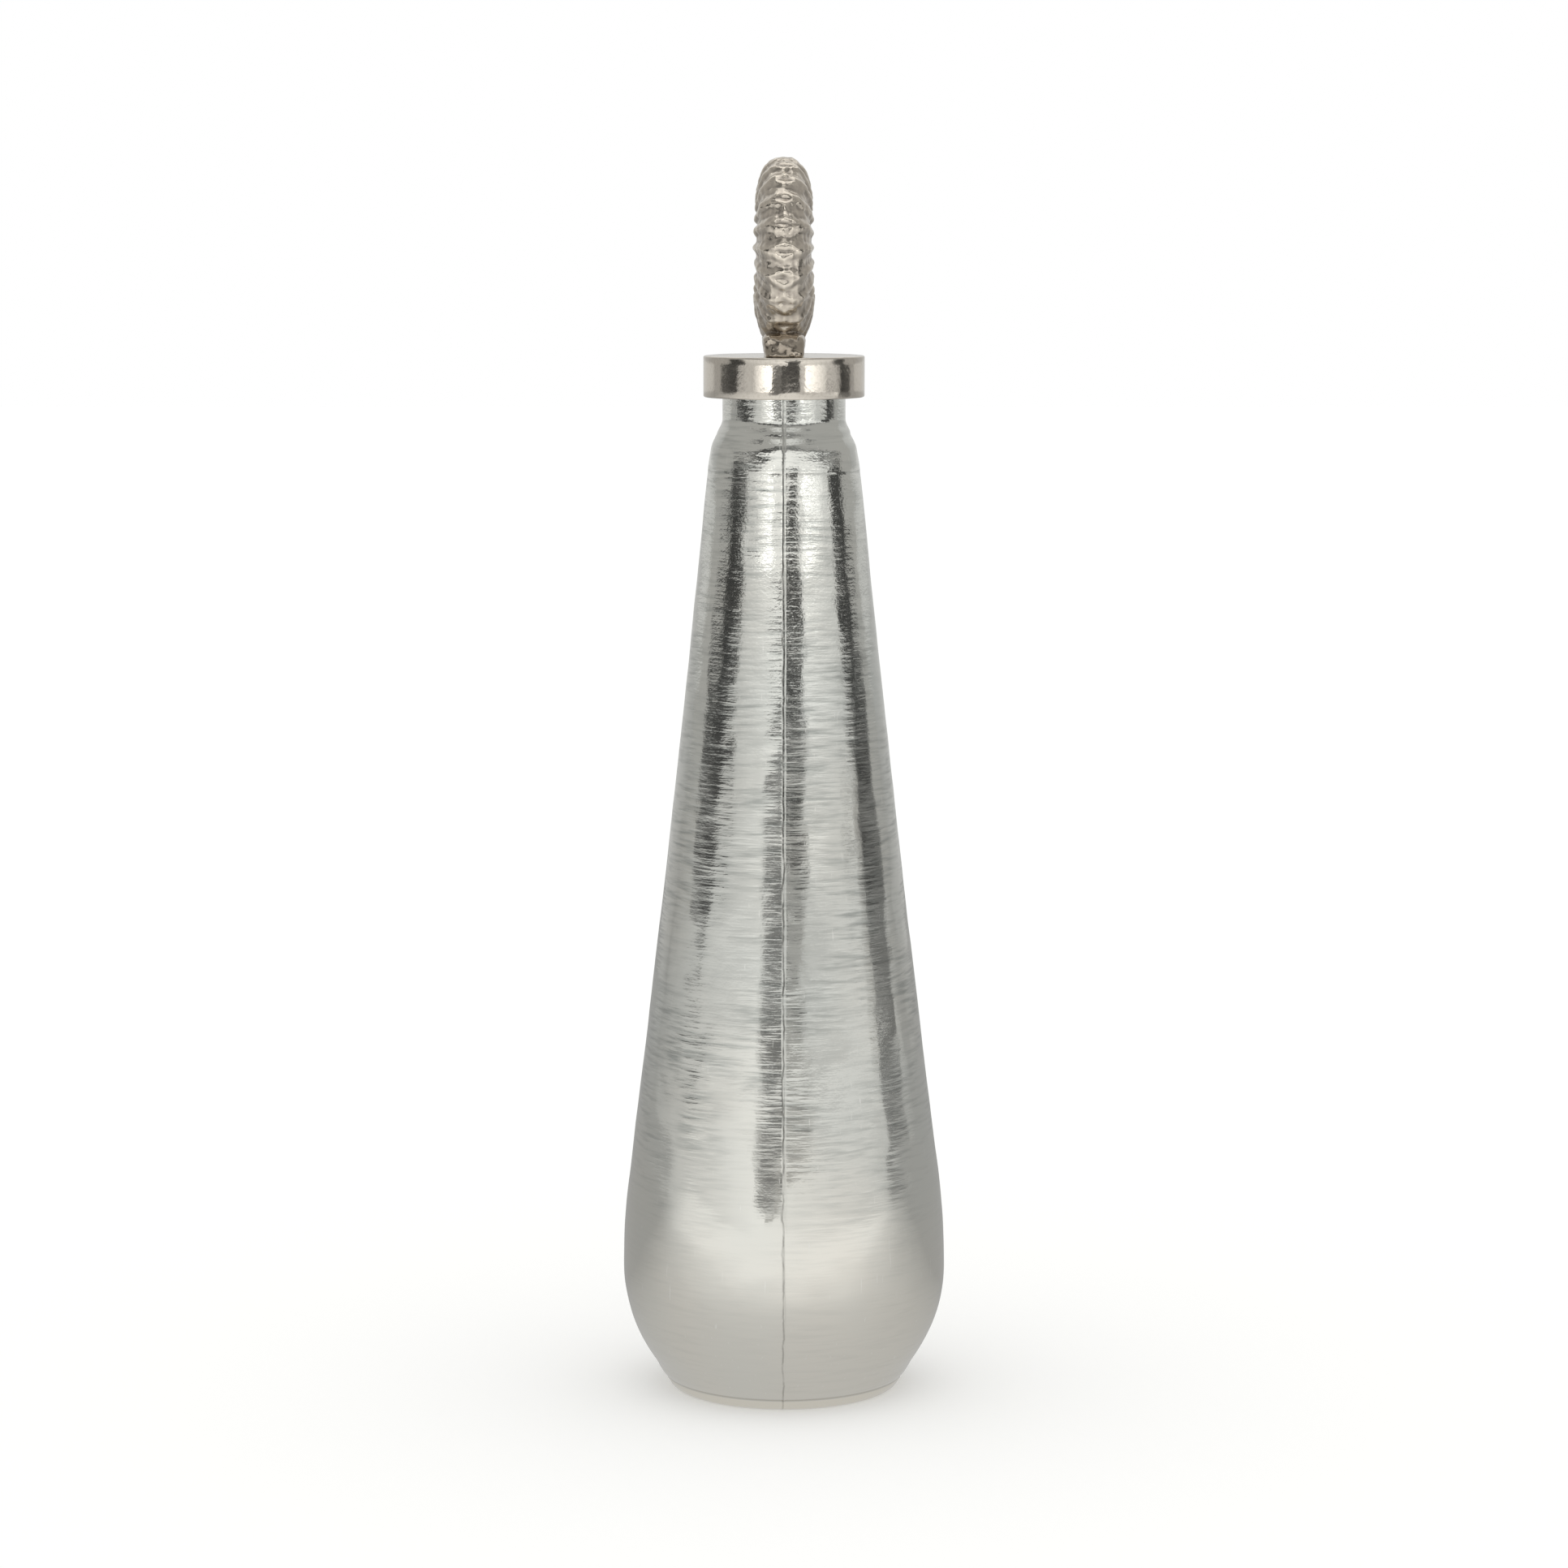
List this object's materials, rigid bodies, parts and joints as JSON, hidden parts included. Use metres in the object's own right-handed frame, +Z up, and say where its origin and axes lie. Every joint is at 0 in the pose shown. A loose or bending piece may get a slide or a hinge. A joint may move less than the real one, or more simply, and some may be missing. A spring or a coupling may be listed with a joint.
{
  "type": "decorative lidded bottle",
  "caption": "Tall tapering bottle of silvered glass with a round plated lid and a ribbed coiled shell as its finial.",
  "frame": {"origin": "centre of the standing ring, on the surface that the bottle stands on", "axes": "+Z up along the bottle's axis; -Y is the front with the mould seam; the shell's disc stands in the YZ plane"},
  "size_m": [0.1146, 0.1152, 0.4321],
  "materials": {
    "silvered_glass": "gloss",
    "plated_lid": "satin",
    "plated_casting": "satin",
    "plug_plastic": "matte",
    "silicone": "matte",
    "steel": "satin"
  },
  "bodies": {
    "bottle": {"glass_bottle": "silvered_glass"},
    "seals": {"seal_ring_1": "silicone", "seal_ring_2": "silicone", "seal_ring_3": "silicone"},
    "stopper": {"stopper_core": "plug_plastic", "lid_cap": "plated_lid", "lid_gasket": "silicone", "finial": "plated_casting", "clamp_screw": "steel", "flat_washer": "steel", "lock_washer": "steel"}
  },
  "joints": [
    {"name": "stopper_lift", "type": "slide", "parent": "bottle", "child": "seals", "axis": [0, 0, 1], "range_m": [0, 0.045]},
    {"name": "stopper_turn", "type": "hinge", "parent": "seals", "child": "stopper", "pos_m": [0, 0, 0.35], "axis": [0, 0, 1], "continuous": true}
  ]
}
